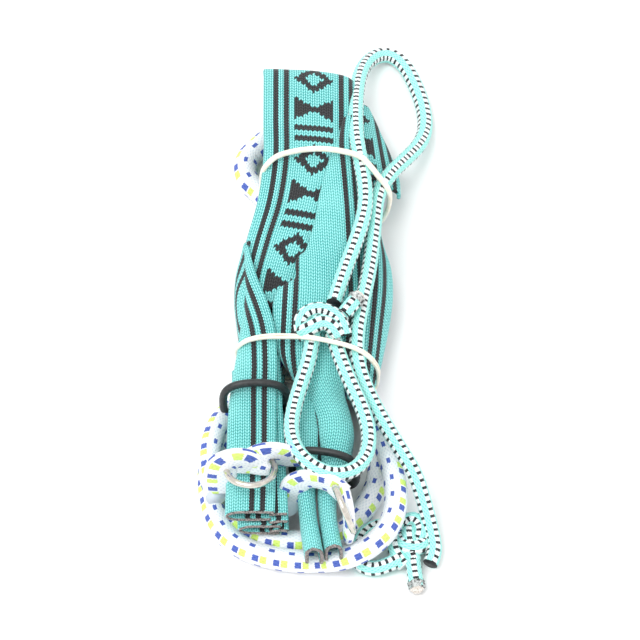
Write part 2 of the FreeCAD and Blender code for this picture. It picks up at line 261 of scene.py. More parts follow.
def rope_paint(name):
    """White braided rope with groups of blue dashes, each led by a yellow-green one."""
    paint = Paint(name, roughness=0.6, specular=0.3, sheen=0.1)
    around, along = paint.lay()
    repeat = 7.7
    column = (around * 6.0).floor()
    spot = (around * 6.0).part() - 0.5
    third = (column / 3.0).part()
    offset = third.above(0.2) * 0.9 + third.above(0.5) * 0.9 + column.above(2.5) * 3.4
    place = ((along - offset) / repeat).part() * repeat
    ragged = (spot * 34.0).wave() * 0.12
    narrow = 0.29 - third.below(0.2) * 0.13
    blue = spot.size().below(narrow) * (place + ragged).below(2.3)
    ahead = ((along - offset + 2.9) / repeat).part() * repeat
    green = spot.size().below(0.33) * (ahead + ragged).below(2.4) * third.above(0.5)
    braid_a = (around * 20.0 + along / 2.2).part() - 0.5
    braid_b = (around * 20.0 - along / 2.2).part() - 0.5
    height = (0.5 - (braid_a * braid_b).size() * 2.0).clamp()
    # Painted light and shade: braid crowns are painted near white and grooves bluish grey, the blue and green
    # dashes are shaded the same way, and noise adds random tone.
    painted_light_and_tone = (height * 1.5 + paint.noise(4000.0) * 0.4).clamp()
    white = paint.blend(painted_light_and_tone, rgb(206, 216, 228), rgb(250, 251, 253))
    tinted = paint.blend(green, white, paint.blend(painted_light_and_tone, rgb(190, 226, 90), rgb(222, 248, 130)))
    paint.colour(paint.blend(blue, tinted, paint.blend(painted_light_and_tone, rgb(46, 66, 148), rgb(84, 108, 192))))
    paint.bump(height, 0.22)
    return paint.material


def speckled_paint(name, first, second, scale, roughness, depth, metallic=0.0, specular=0.5):
    """A moulded or metal surface: two colours mixed by noise, with the same noise as bump."""
    paint = Paint(name, roughness, metallic, specular)
    grain = paint.noise(scale, 4.0)
    spread = ((grain - 0.35) * 3.0).clamp()
    paint.colour(paint.blend(spread, first, second))
    paint.rough(grain * 0.25 + (roughness - 0.12))
    paint.bump(grain, depth)
    return paint.material


PLAIN_WEBBING = webbing_paint("teal_webbing", False)
PATTERNED_WEBBING = webbing_paint("teal_patterned_webbing", True)
LEASH = cord_paint("teal_cord")
TOW_ROPE = rope_paint("white_rope")
KEEPER_RUBBER = speckled_paint(
    "grey_rubber", rgb(34, 36, 37), rgb(50, 53, 54), 900.0, 0.42, 0.02)
BAND_RUBBER = speckled_paint(
    "cream_rubber", rgb(243, 233, 214), rgb(253, 248, 238), 500.0, 0.5, 0.03)
STEEL = speckled_paint(
    "steel", rgb(206, 200, 190), rgb(224, 219, 210), 600.0, 0.24, 0.0006, metallic=1.0)
# The pale pinkish-grey mottle on the melted edge is partly painted highlight on the glossy bead and partly
# its own lighter melt.
MELTED = speckled_paint(
    "melted_edge", rgb(40, 43, 43), rgb(176, 164, 160), 1900.0, 0.34, 0.16)
FRAYED = speckled_paint(
    "frayed_cord_sheath", rgb(26, 30, 30), rgb(226, 232, 230), 1100.0, 0.6, 0.2)
CUT_CORE = speckled_paint(
    "cut_cord_core", rgb(190, 180, 168), rgb(248, 244, 238), 1300.0, 0.5, 0.15)


# ---------------------------------------------------------------- shared builders
def add_mesh(name, points, faces, paints, paint_of=None, uvs=None, body="bundle", slot=None):
    """A smooth mesh piece from points in millimetres, riding on a body of the frame."""
    mesh = bpy.data.meshes.new(name)
    mesh.from_pydata([Vector(p) * MM for p in points], [], faces)
    for paint in paints:
        mesh.materials.append(paint)
    mesh.polygons.foreach_set("use_smooth", [True] * len(faces))
    if paint_of is not None:
        mesh.polygons.foreach_set("material_index", paint_of)
    if uvs is not None:
        layer = mesh.uv_layers.new(name=LAY_UV)
        layer.data.foreach_set("uv", np.asarray(uvs, np.float32).ravel())
    mesh.validate()
    mesh.update()
    piece = bpy.data.objects.new(name, mesh)
    bpy.context.scene.collection.objects.link(piece)
    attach(piece, body)
    return piece


def nurbs_line(route):
    """The points of the smooth line whose control points are the route, as Blender works them out."""
    curve = bpy.data.curves.new("route", "CURVE")
    curve.dimensions = "3D"
    curve.resolution_u = 24
    spline = curve.splines.new("NURBS")
    spline.points.add(len(route) - 1)
    for point, place in zip(spline.points, route):
        point.co = (place[0] * MM, place[1] * MM, place[2] * MM, 1.0)
    spline.order_u = 3
    spline.use_endpoint_u = True
    holder = bpy.data.objects.new("route", curve)
    bpy.context.scene.collection.objects.link(holder)
    mesh = bpy.data.meshes.new_from_object(holder)
    line = np.array([v.co[:] for v in mesh.vertices]) / MM
    bpy.data.objects.remove(holder)
    bpy.data.curves.remove(curve)
    bpy.data.meshes.remove(mesh)
    return line


def distances(line):
    """How far along the line each of its points is."""
    steps = np.linalg.norm(np.diff(line, axis=0), axis=1)
    return np.concatenate([[0.0], np.cumsum(steps)])


def even(line, step):
    """The same line with points about step apart."""
    far = distances(line)
    count = max(3, int(round(far[-1] / step)) + 1)
    at = np.linspace(0.0, far[-1], count)
    return np.stack([np.interp(at, far, line[:, i]) for i in range(3)], axis=1)


def unit(vectors):
    return vectors / np.maximum(np.linalg.norm(vectors, axis=-1, keepdims=True), 1e-9)


def cross_frames(line, side=None, closed=False):
    """Two directions across the line at each of its points. side fixes the first, else it rolls freely."""
    if closed:
        tangents = unit(np.roll(line, -1, axis=0) - np.roll(line, 1, axis=0))
    else:
        tangents = unit(np.gradient(line, axis=0))
    if side is None:
        start = Vector((0, 0, 1)) if abs(tangents[0][2]) < 0.9 else Vector((0, 1, 0))
        rolling = []
        current = np.array(start)
        for tangent in tangents:
            current = current - tangent * np.dot(current, tangent)
            current = current / np.linalg.norm(current)
            rolling.append(current)
        first = np.array(rolling)
    else:
        first = np.broadcast_to(np.asarray(side, float), line.shape)
        first = unit(first - tangents * np.sum(first * tangents, axis=1, keepdims=True))
    second = np.cross(tangents, first)
    return tangents, first, second


def sweep(name, line, section, paint, segments=32, side=None, closed=False, twist=0.0, **kind):
    """A tube along the line. section(distance, angle) gives its half sizes across, in millimetres."""
    tangents, first, second = cross_frames(line, side, closed)
    far = distances(line)
    angle = np.linspace(0, 2 * math.pi, segments, endpoint=False)[None, :]
    wide, high = section(far[:, None], angle)
    turned = angle + twist * far[:, None]
    rings = (line[:, None, :]
             + first[:, None, :] * (np.cos(turned) * high)[..., None]
             + second[:, None, :] * (np.sin(turned) * wide)[..., None])
    count = len(line)
    points = rings.reshape(-1, 3)
    length = far[-1] + (np.linalg.norm(line[0] - line[-1]) if closed else 0.0)
    faces, uvs = [], []
    for i in range(count if closed else count - 1):
        below, above = i, (i + 1) % count
        v0, v1 = far[i], far[i + 1] if i + 1 < count else length
        for j in range(segments):
            k = (j + 1) % segments
            faces.append((below * segments + j, below * segments + k,
                          above * segments + k, above * segments + j))
            u0, u1 = j / segments, (j + 1) / segments
            uvs += [(u0, v0), (u1, v0), (u1, v1), (u0, v1)]
    if not closed:
        for ring, order in ((0, -1), (count - 1, 1)):
            face = tuple(ring * segments + j for j in range(segments))[::order]
            faces.append(face)
            uvs += [(0.5, far[ring])] * segments
    return add_mesh(name, points, faces, [paint], uvs=uvs, **kind)


def round_section(diameter, relief=0.0, strands=8, pitch=3.0):
    """A round section with the low crowns of a braid."""
    def section(far, angle):
        crowns = np.cos(strands * angle + 2 * math.pi * far / pitch)
        crowns = crowns * np.cos(strands * angle - 2 * math.pi * far / pitch)
        radius = diameter / 2 - relief + relief * crowns
        return radius, radius
    return section


def flat_section(wide, high, power=2.6, relief=0.0):
    """A flattened section: a superellipse that is wide across and high upwards."""
    def section(far, angle):
        shape = (np.abs(np.cos(angle)) ** power + np.abs(np.sin(angle)) ** power) ** (-1 / power)
        ripple = relief * np.cos(8 * angle + 2.1 * far) * np.cos(8 * angle - 2.1 * far)
        size = shape + 0 * far
        return size * wide / 2 + ripple, size * high / 2 + ripple
    return section


def catmull(points, at):
    """Points of the smooth line through the given ones. at runs from 0 to their count less one."""
    points = np.asarray(points, float)
    last = len(points) - 1
    i = np.clip(np.floor(at).astype(int), 0, last - 1)
    t = (at - i).reshape(-1, *([1] * (points.ndim - 1)))
    p0 = points[np.maximum(i - 1, 0)]
    p1, p2 = points[i], points[i + 1]
    p3 = points[np.minimum(i + 2, last)]
    return 0.5 * (2 * p1 + (p2 - p0) * t + (2 * p0 - 5 * p1 + 4 * p2 - p3) * t ** 2
                  + (3 * p1 - p0 - 3 * p2 + p3) * t ** 3)


def even_catmull(points, step):
    """The smooth line or sheet through the given points, resampled about step apart along its first axis."""
    points = np.asarray(points, float)
    fine = np.linspace(0, len(points) - 1, 24 * len(points))
    dense = catmull(points, fine)
    middle = dense if dense.ndim == 2 else dense.mean(axis=1)
    far = distances(middle)
    count = max(3, int(round(far[-1] / step)) + 1)
    return catmull(points, np.interp(np.linspace(0, far[-1], count), far, fine))


def lay(name, stations, paint=None, edge_at=0.0, start=0.0, rightward=True, thick=WEBBING_THICK,
        ends=(False, False), nodes=(), uneven=0.25, seed=1):
    """Webbing through cross-sections, from the far end to the near one, each a list of outer points.

    A section runs rightward or leftward. edge_at is where its first point is across the webbing's own
    width, and start is the first section's place along the webbing.
    """
    across_step, along_step = 0.75, 0.9
    width = max(distances(np.asarray(s, float))[-1] for s in stations)
    columns = max(6, int(round(width / across_step)))
    rows = [catmull_even_count(s, columns) for s in stations]
    grid = even_catmull(np.array(rows), along_step)
    count = len(grid)
    along = unit(np.gradient(grid, axis=0))
    across = unit(np.gradient(grid, axis=1))
    turn = 1.0 if rightward else -1.0
    normal = unit(np.cross(along, across)) * turn
    wobble = np.array([[noise.noise(Vector((p[0] / 9 + seed * 7, p[1] / 13, p[2] / 9)))
                        for p in row] for row in grid])
    outer = grid + normal * (wobble * uneven)[..., None]
    inner = outer - normal * thick
    low_edge = (outer[:, 0] + inner[:, 0]) / 2 - across[:, 0] * 0.45
    high_edge = (outer[:, -1] + inner[:, -1]) / 2 + across[:, -1] * 0.45
    loop = np.concatenate([outer, high_edge[:, None], inner[:, ::-1], low_edge[:, None]], axis=1)
    ring = loop.shape[1]
    steps = np.linalg.norm(np.diff(outer, axis=1), axis=2)
    u_outer = edge_at + turn * np.concatenate([np.zeros((count, 1)), np.cumsum(steps, axis=1)], axis=1)
    u_last, u_first = u_outer[:, -1:] + 0.8 * turn, u_outer[:, :1] - 0.8 * turn
    u_loop = np.concatenate([u_outer, u_last, u_outer[:, ::-1], u_first], axis=1)
    v = start + distances(grid.mean(axis=1))
    faces, uvs = [], []
    for i in range(count - 1):
        for j in range(ring):
            k = (j + 1) % ring
            faces.append((i * ring + j, i * ring + k, (i + 1) * ring + k, (i + 1) * ring + j))
            uvs += [(u_loop[i, j], v[i]), (u_loop[i, k], v[i]),
                    (u_loop[i + 1, k], v[i + 1]), (u_loop[i + 1, j], v[i + 1])]
    for i, order in ((0, -1), (count - 1, 1)):
        half = ring // 2
        for j in range(half - 1):
            quad = (i * ring + j, i * ring + j + 1, i * ring + ring - 3 - j, i * ring + ring - 2 - j)
            faces.append(quad[::order])
            uvs += [(u_loop[i, j], v[i])] * 4
        tip = (i * ring + half - 1, i * ring + half, i * ring + half + 1)
        tail = (i * ring + ring - 1, i * ring, i * ring + ring - 2)
        faces += [tip[::order], tail[::order]]
        uvs += [(u_loop[i, half], v[i])] * 6
    if rightward:
        faces = [f[::-1] for f in faces]
        flipped = []
        position = 0
        for face in faces:
            flipped += uvs[position:position + len(face)][::-1]
            position += len(face)
        uvs = flipped
    piece = add_mesh(name, loop.reshape(-1, 3), faces, [paint or PLAIN_WEBBING], uvs=uvs, slot="teal_webbing")
    if nodes:
        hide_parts(*nodes)
    for end, i in zip(ends, (0, count - 1)):
        if end:
            rim(f"{name}_melted_{'first' if i == 0 else 'last'}_end", (outer[i] + inner[i]) / 2, thick, seed)
    return piece


def catmull_even_count(points, count):
    """A smooth line through the points, as that many even ones."""
    fine = np.linspace(0, len(points) - 1, 30 * len(points))
    dense = catmull(points, fine)
    far = distances(dense)
    return catmull(points, np.interp(np.linspace(0, far[-1], count), far, fine))


def rim(name, line, thick, seed):
    """The heat-sealed bead along a cut end of webbing."""
    line = even(line, 0.5)
    def section(far, angle):
        lumps = np.array([[noise.noise(Vector((d * 1.3 + seed * 11, 2 * math.cos(a), 2 * math.sin(a))))
                           for a in angle[0]] for d in far[:, 0]])
        radius = thick / 2 + 0.04 + 0.16 * lumps
        return radius, radius * 0.7
    return sweep(name, line, section, MELTED, segments=10, slot="teal_webbing")


# ---------------------------------------------------------------- webbing
# The patterned lay on top: over its far fold, down the bundle and under the left side's lay.
lay("front_patterned_webbing", [
    [(-19.5, 84, 14.4), (-10, 84, 14.6), (0, 83, 14.6), (8, 82, 14), (12, 82, 12.4)],
    [(-20.5, 98, 13.6), (-11, 98, 13.8), (0, 97, 13.8), (9, 96, 13.2), (13, 96, 11)],
    [(-21.4, 107.4, 16.6), (-11, 107, 17), (0, 106, 17), (9.5, 104.4, 16.6), (14, 103, 14)],
    [(-21.3, 105.6, 20.4), (-11, 105, 21), (0, 104, 21), (10, 102.4, 20.2), (14.6, 100.6, 16.8)],
    [(-21.3, 95, 22.8), (-11, 95, 23.2), (0, 94, 23), (10, 92.6, 21.8), (15, 91, 18)],
    [(-21.3, 80, 24.4), (-11, 80, 24.8), (0, 79.4, 24.4), (10, 78, 23.2), (15, 77, 19.4)],
    [(-21.3, 60, 25.6), (-11, 60, 26.4), (0, 59, 26.4), (10, 57.6, 25.2), (15, 56, 21.6)],
    [(-23.6, 41, 24.6), (-14, 39.4, 26.2), (-4, 37.4, 26.2), (6, 35, 25.2), (12, 33.4, 22.6)],
    [(-28, 23.4, 22.6), (-18.6, 21.6, 25.2), (-8.6, 19.4, 25.6), (2, 17, 24.8), (9, 15.4, 22.8)],
    [(-31, 8, 19.4), (-22, 6, 23.6), (-12, 3.8, 24.4), (-2, 1.6, 24), (6, 0, 22.8)],
    [(-32.4, -4, 17.6), (-24, -6, 21.8), (-14, -8, 23), (-5, -10, 23), (4, -12, 22.4)],
], PATTERNED_WEBBING, start=26.0, nodes=("front_patterned_lay",), seed=2)

# The folds under it, seen from the far end, the sides and below.
lay("inner_upper_fold_webbing", [
    [(11, -26, 21.4), (0, -26, 21.8), (-12, -25, 21.4), (-21, -24, 19.4)],
    [(12, 0, 21.8), (0, 1, 22), (-14, 2, 21.8), (-25, 3, 18.4)],
    [(11.6, 30, 22.4), (0, 31, 23), (-12, 32, 22.8), (-23.6, 33, 20.6)],
    [(11.6, 60, 21.6), (0, 61, 22.4), (-10, 62, 22.4), (-19.4, 63, 21.4)],
    [(10.4, 86, 19.4), (0, 87, 19.8), (-9, 88, 19.8), (-18.6, 89, 19.4)],
    [(10, 94.4, 17.4), (0, 95.4, 17.8), (-9, 96, 17.8), (-18.4, 97, 17.6)],
    [(10, 88, 16.2), (0, 89, 16.4), (-9, 90, 16.4), (-18.4, 91, 16.2)],
    [(11, 60, 17.6), (0, 60, 17.8), (-9, 61, 17.8), (-19, 62, 17.2)],
    [(11.6, 30, 18), (0, 30, 18.2), (-12, 30, 18.2), (-22.6, 31, 17.2)],
    [(12, -4, 17.8), (0, -4, 18), (-12, -4, 18), (-22.4, -3, 17)],
    [(12, -28, 17.6), (0, -28, 17.8), (-12, -28, 17.8), (-21, -27, 17)],
], start=300.0, nodes=("inner_webbing_folds",), seed=3)
lay("inner_side_webbing", [
    [(-28.6, 22, 14), (-29.4, 22, 18), (-28.8, 23, 21.8), (-26.8, 23.4, 23.2)],
    [(-31.6, 10, 11), (-32.2, 10, 15.6), (-31, 10.4, 21), (-27, 11, 24)],
    [(-31.4, 0, 6.5), (-32.6, 0, 14.8), (-31.6, 0, 21.4), (-27, 0.6, 24.6)],
    [(-30.6, -10, 4.6), (-31.6, -10, 14), (-30.8, -10, 21), (-27, -10, 24.2)],
    [(-29.6, -22, 7), (-30.2, -22, 14), (-29.8, -22, 19), (-27, -22, 21.4)],
    [(-29, -33, 9), (-29.4, -33, 13.4), (-29, -33, 16), (-27, -33, 17.4)],
], edge_at=18.8, start=80.0, seed=4)

# The left side's lay turns up out of the side, lies over the patterned one and becomes the left handle.
lay("left_handle_upper_webbing", [
    [(-28.3, 20.4, 24.6), (-28.9, 20, 23.4), (-29.2, 19.4, 21), (-29, 19, 18), (-28.6, 18.4, 15),
     (-27.6, 18, 12)],
    [(-24.4, 5.4, 26.8), (-26.2, 5, 26.6), (-27.8, 4.4, 25.4), (-28.4, 4, 22.8), (-28.2, 3.6, 18),
     (-27.6, 3, 13.8)],
    [(-20.4, -7, 27.3), (-24, -7.6, 27.1), (-27.6, -8, 25.6), (-29.2, -8, 22), (-28.6, -8, 17.4),
     (-25, -8, 15.4)],
    [(-17.2, -20, 26.8), (-22.6, -20.6, 26.9), (-28, -21, 25.4), (-30.6, -21, 21.6), (-29, -21, 17.6),
     (-21, -21, 16.4)],
    [(-16.4, -34, 24.6), (-22.6, -34, 25), (-28.8, -34, 24.1), (-32.2, -34, 20.4), (-29, -34, 17.1),
     (-17, -34, 16.8)],
    [(-16.6, -46, 23.3), (-24, -46, 23.5), (-30.8, -46, 23.1), (-33.8, -46, 20.2), (-30.8, -46, 17.2),
     (-17.6, -46, 16.9)],
    [(-16.6, -66, 23.3), (-24.4, -66, 23.6), (-31.8, -66, 23.1), (-34.9, -66, 20.1), (-31.6, -66, 17.1),
     (-17.6, -66, 16.9)],
    [(-16.9, -86, 23.1), (-24.6, -86, 23.4), (-31.9, -86, 23), (-35.2, -86, 19.9), (-31.8, -86, 17),
     (-18, -86, 16.9)],
    [(-17.2, -100, 23), (-24.8, -100, 23.2), (-32.2, -100, 22.8), (-35.5, -100, 19.8), (-32, -100, 16.9),
     (-18.4, -100, 17)],
], edge_at=WEBBING_WIDTH, start=60.0, rightward=False, ends=(False, True),
    nodes=("left_side_lay", "left_handle_upper_fold"), seed=5)
lay("left_handle_lower_webbing", [
    [(-14.6, y, 16.3 - sag), (-21, y, 16.2 - sag), (-27.6 + slip, y, 16 - sag),
     (-31.2 + slip, y, 13.2 - sag / 2),
     (-27.6 + slip, y, 10.2), (-14.8 - slip / 2, y, 10.0)]
    for y, slip, sag in ((-30, -2, 0.4), (-46, -1.6, 0.2), (-62, -1.0, 0.0), (-78, -0.4, 0.0),
                         (-90, 0.2, 0.2), (-101.5, 0.6, 0.5))
], edge_at=36.0, start=180.0, rightward=False, ends=(False, True), nodes=("left_handle_lower_fold",), seed=6)
for number, (edge, level, near) in enumerate(((-14.1, 21.4, -99), (-14.0, 19.2, -101), (-13.9, 14.6, -102))):
    lay(f"left_handle_side_webbing_{number + 1}", [
        [(edge + out, y, level - drop), (edge + out - 2.6, y, level + 0.1 - drop),
         (edge + out - 6.8, y, level - 0.6 - drop)]
        for y, drop, out in ((-28, 0.0, -1.4), (-50, 0.2, -0.4), (-75, 0.4, 0.8), (near, 0.9, 1.9))
    ], edge_at=WEBBING_WIDTH - number, start=20.0 * number, rightward=False, thick=1.4,
        ends=(False, True), seed=7 + number)

# The plain lay: folded to a point under the cord, it opens over the patterned one.
lay("centre_plain_webbing", [
    [(13, 81, 25.2), (11.4, 80.6, 26), (9.8, 80, 25.8), (8.9, 79.6, 24.8), (10.4, 79.6, 23.6),
     (12.6, 80, 23)],
    [(12.4, 68, 26.4), (9.8, 68, 27.3), (7.2, 67.6, 27), (5.9, 67, 26), (8, 67, 24.8), (12, 67.4, 24.4)],
    [(13, 55, 27.8), (9, 55.6, 28.9), (4.6, 56, 28.4), (2.8, 56, 27.4), (5, 56, 26), (12, 55, 25.4)],
    [(14.2, 36, 27.4), (8, 37.4, 29.2), (1.6, 38.6, 28.8), (-0.8, 38.8, 27.4), (2.6, 38, 26), (12, 36, 25)],
    [(15, 17, 26.4), (7.4, 18.6, 29), (-0.8, 20, 29), (-4.4, 20, 27.6), (0, 20, 25.8), (9, 18, 25)],
    [(15.4, 6, 25.4), (7, 7.6, 28.6), (-3, 10, 29), (-9, 11.4, 27.8), (-6.4, 10, 25.9), (2, 8, 25)],
    [(15.6, -6, 24.8), (7.4, -5.4, 28), (-3.4, -4, 28.8), (-13.4, -2.6, 27.8), (-16.4, -2.4, 26.4),
     (-14.6, -2.6, 25.2)],
    [(15, -20, 24.6), (7.4, -20, 27.4), (-2.6, -20, 27.6), (-11, -20, 26.4), (-16.6, -20, 24.6),
     (-18.4, -20, 23.6)],
    [(12.4, -34, 20.5), (9.6, -34, 25), (3, -34, 26.2), (-5, -34, 25), (-11, -34, 22.4), (-12.6, -34, 19.4)],
    [(9.4, -44, 15), (8.6, -44, 22), (3.6, -44, 25), (-2, -44, 24.6), (-5.6, -44, 21), (-5.8, -44, 15)],
    [(11.6, -54, 11), (11.4, -54, 20), (7.6, -54, 23.6), (2, -54, 24), (-2.6, -54, 21), (-2.8, -54, 12)],
    [(12.6, -62, 10.5), (12.4, -62, 20), (8.6, -62, 23.4), (3.6, -62, 23.7), (-0.8, -62, 21), (-1, -62, 11)],
    [(11.2, -70, 10.3), (11.2, -70, 20), (8.4, -70, 23), (4, -70, 23.2), (0.5, -70, 20.6), (0.3, -70, 10.4)],
    [(9.8, -79, 10.3), (9.8, -79, 19.6), (7.2, -79, 22.2), (4, -79, 22.4), (0.6, -79, 19.6),
     (0.4, -79, 10.3)],
    [(6.4, -87, 10.3), (6.3, -87, 18), (4.8, -87, 21), (2.4, -87, 21.4), (-0.7, -87, 18.2),
     (-0.8, -87, 10.3)],
    [(6.3, -98, 10.3), (6.2, -98, 17.4), (4.9, -98, 20.2), (2.6, -98, 20.6), (0, -98, 17.6),
     (-0.1, -98, 10.3)],
    [(7.4, -107, 10.3), (7.3, -107, 17.2), (6, -107, 20), (3.8, -107, 20.4), (1, -107, 17.4),
     (0.9, -107, 10.3)],
    [(8.5, -113.4, 10.3), (8.4, -113.4, 17), (7, -113.4, 19.8), (4.8, -113.4, 20.2), (1.9, -113.4, 17.2),
     (1.8, -113.4, 10.3)],
], edge_at=WEBBING_WIDTH - 4.0, start=400.0, rightward=False, ends=(False, True),
    nodes=("centre_plain_lay", "right_handle_body", "right_handle_right_leg"), seed=11)


def roll(y, middle, half, top, foot=10.3, corner=3.0):
    """The upside-down U of a rolled strap at one place along it, from its left foot to its right one."""
    outline = [(-half, foot), (-half, top - corner), (-half + corner * 0.6, top - 0.4), (0, top),
               (half - corner * 0.6, top - 0.4), (half, top - corner), (half, foot)]
    return [(middle + x, y, z) for x, z in outline]


# The strap beside it, which becomes the left leg.
lay("right_handle_left_webbing", [
    roll(-30, -5.0, 3.6, 21.6), roll(-40, -4.8, 3.9, 21.8), roll(-54, -4.3, 4.3, 22),
    roll(-68, -4.5, 4.3, 22), roll(-80, -4.9, 3.8, 21.7), roll(-88, -5.2, 3.3, 21.0),
    roll(-98, -4.4, 3.2, 20.6), roll(-107, -3.3, 3.3, 20.4), roll(-114.8, -2.2, 3.4, 20.2),
], edge_at=10.0, start=500.0, ends=(False, True), nodes=("right_handle_left_leg",), seed=12)

# The right side: a lay whose stripes run down the flank, and the folded end beside the cord.
lay("right_side_webbing", [
    [(11.4, 58, 20.6), (16.6, 58, 20.2), (20, 57.6, 17.6), (21.6, 57, 13.6), (22, 57, 9.4)],
    [(11.6, 42, 21), (17, 42, 20.6), (20.6, 41.4, 18), (22.2, 40.6, 14), (22.6, 40, 9)],
    [(11.8, 30, 21.2), (17.4, 30, 20.8), (21.6, 29.4, 18.4), (24.2, 28.6, 14), (24.6, 28, 9)],
    [(12.2, 20, 21.2), (17.8, 20, 20.8), (22.8, 19.4, 18.6), (26.6, 18, 14), (27, 17, 9)],
    [(12.2, 8, 21.2), (18, 8, 20.6), (23.4, 7, 18.6), (27.2, 5.6, 14), (27.6, 5, 9)],
    [(11.4, -6, 21.2), (16.8, -6, 20.6), (21.8, -7, 18.6), (25.6, -8, 14), (26, -8, 9)],
    [(10.4, -20, 20.6), (15.2, -20, 20.2), (19.8, -20.6, 18), (23.6, -21, 13.6), (24, -21, 9)],
    [(9.6, -33, 19.4), (13.6, -33, 19.2), (17.6, -33, 17.2), (20.8, -33, 13), (21.2, -33, 9.4)],
    [(10.8, -46, 18.4), (13, -46, 18.2), (15.4, -46, 16.4), (17.4, -46, 12.6), (17.6, -46, 9.8)],
], edge_at=20.4, start=640.0, nodes=("right_side_lay",), seed=14)
lay("top_right_webbing", [
    [(11.8, 96, 14.4), (14.6, 95.6, 14), (18.4, 95, 11.6), (19.6, 94.4, 8.4)],
    [(12.4, 86, 16.6), (17, 85.4, 15.6), (22.2, 84.4, 12), (23.4, 84, 8.6)],
    [(13.4, 75, 18.4), (19.4, 74.4, 17), (26.2, 73, 12.6), (27.4, 72.4, 8.8)],
    [(14.6, 64, 19.4), (21.4, 63.2, 17.6), (29.2, 62, 13), (30.4, 61.4, 9)],
    [(15.6, 56.4, 19.2), (22.6, 55, 17.2), (30.2, 53.6, 12.6), (30.8, 53, 9.4)],
], PATTERNED_WEBBING, edge_at=19.0, start=8.0, nodes=("top_right_lay",), seed=15)


# ---------------------------------------------------------------- tow rope
LEFT_RUN = [
    (-38.6, -86, 12), (-40.4, -80, 10.6), (-41.8, -70, 10.4), (-41.2, -60, 9.8), (-38.4, -50, 8),
    (-32.6, -41, 4.9), (-25, -33, 6.5), (-17, -22, 11),
]
UPPER_TURN = [
    (-11.4, -8, 13.2), (-10.4, 14, 13.2), (-10.2, 33, 13.2), (-10.8, 44, 13.2), (-6.4, 51.4, 13.2),
    (1.6, 52.2, 13.2), (7.4, 45, 13.2), (6.6, 30, 13.2), (6, 8, 13.2), (5.6, -14, 13.2),
    (9.4, -32, 13.2), (17, -45, 13.2), (23, -59, 13.2),
    (27.2, -73, 13.2), (29, -87, 13.2), (26.6, -100.4, 13), (18.6, -109, 11.6), (8.6, -111.8, 8),
    (0, -110.4, 4.8),
]
OUTER_TURN = [
    (-12, -110.2, 4.5), (-27, -106, 4.5), (-37.2, -97, 4.5), (-41.6, -82, 4.5), (-42, -67, 4.5),
    (-38, -55, 4.5), (-30, -46, 4.5), (-23.8, -34, 4.5), (-20.4, -16, 4.5), (-18.4, 0, 4.5), (-18, 20, 4.5),
    (-18, 42, 4.5), (-18.4, 53.4, 4.5), (-22.6, 59, 4.7), (-28.6, 65, 4.8), (-29, 74.4, 4.8),
    (-22.8, 81.4, 4.8),
    (-17.4, 87, 4.7), (-14, 98, 4.6), (-5.4, 107, 4.5), (4.6, 107, 4.5), (11.4, 99, 4.5),
    (13.6, 86, 4.5), (13.4, 66, 4.5), (14.2, 44, 4.5),
    (14, 14, 4.5), (14.2, -18, 4.5), (16.4, -35, 4.5), (21, -50, 4.5), (23, -64, 4.5), (21, -79, 4.5),
    (13.4, -92, 4.5), (3, -100.4, 4.5),
]
INNER_TURN = [
    (-10, -102, 4.5), (-22, -99.6, 4.5), (-30, -93.6, 4.5), (-32, -85, 4.5), (-26, -79, 4.6),
    (-18.4, -81, 5.4), (-13.4, -86.4, 8.4), (-11.6, -90.6, 13.4),
]
rope_line = even(nurbs_line(LEFT_RUN + UPPER_TURN + OUTER_TURN + INNER_TURN), 0.9)
tow_rope = sweep("tow_rope", rope_line, round_section(ROPE, relief=0.14, strands=10, pitch=4.4), TOW_ROPE,
                 segments=40, slot="white_rope")
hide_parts("tow_rope_hank_lower", "tow_rope_hank_upper", "tow_rope_left_run")


def pressed_rope(name, route, wide, high, side, nodes=()):
    """The rope where it is pressed flat through a ring."""
    line = even(nurbs_line(route), 0.6)
    piece = sweep(name, line, flat_section(wide, high, relief=0.1), TOW_ROPE, segments=40, side=side,
                  slot="white_rope")
    if nodes:
        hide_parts(*nodes)
    return piece


RING_SIDE = (0.0, 1.0, 0.0)
left_lobe = pressed_rope("left_hitch_left_lobe", [
    (-36.8, -84.6, 14), (-37.2, -84.4, 20), (-37.2, -84.2, 26), (-36.2, -84, 30.8), (-33, -83.8, 33.6),
    (-29, -83.6, 34), (-26.2, -83.6, 31), (-25.8, -83.6, 26),
], 12.4, 3.2, RING_SIDE, ("tow_rope_left_hitch",))
right_lobe = pressed_rope("left_hitch_right_lobe", [
    (-25, -84, 26), (-24.6, -83.4, 30.6), (-22, -82.2, 34), (-18, -80.6, 34.2), (-14.4, -79.2, 31.6),
    (-11.8, -78.4, 27.6), (-10.8, -78, 22.6),
], 12.4, 3.4, (0.16, 1.0, 0.0))

pressed_rope("right_hitch_over_legs", [
    (-10.2, -87.6, 10), (-10.6, -87.8, 15), (-10.2, -88, 20.6), (-8, -88.2, 25.6), (-3.8, -88.8, 28.4),
    (1, -90, 28.8), (5.4, -92.2, 28.6), (9, -95, 26.8),
], 10.4, 3.8, (0.1, 1.0, 0.0), ("tow_rope_right_hitch",))
pressed_rope("right_hitch_through_ring", [
    (7.8, -91.6, 25.6), (8.6, -95, 29.4), (9.6, -99.4, 30.4), (10.6, -103.6, 28.6), (11, -106.6, 24.4),
    (10.8, -107, 19.4), (10.4, -105.6, 15.4),
], 7.6, 4.0, (1.0, 0.2, -0.2))


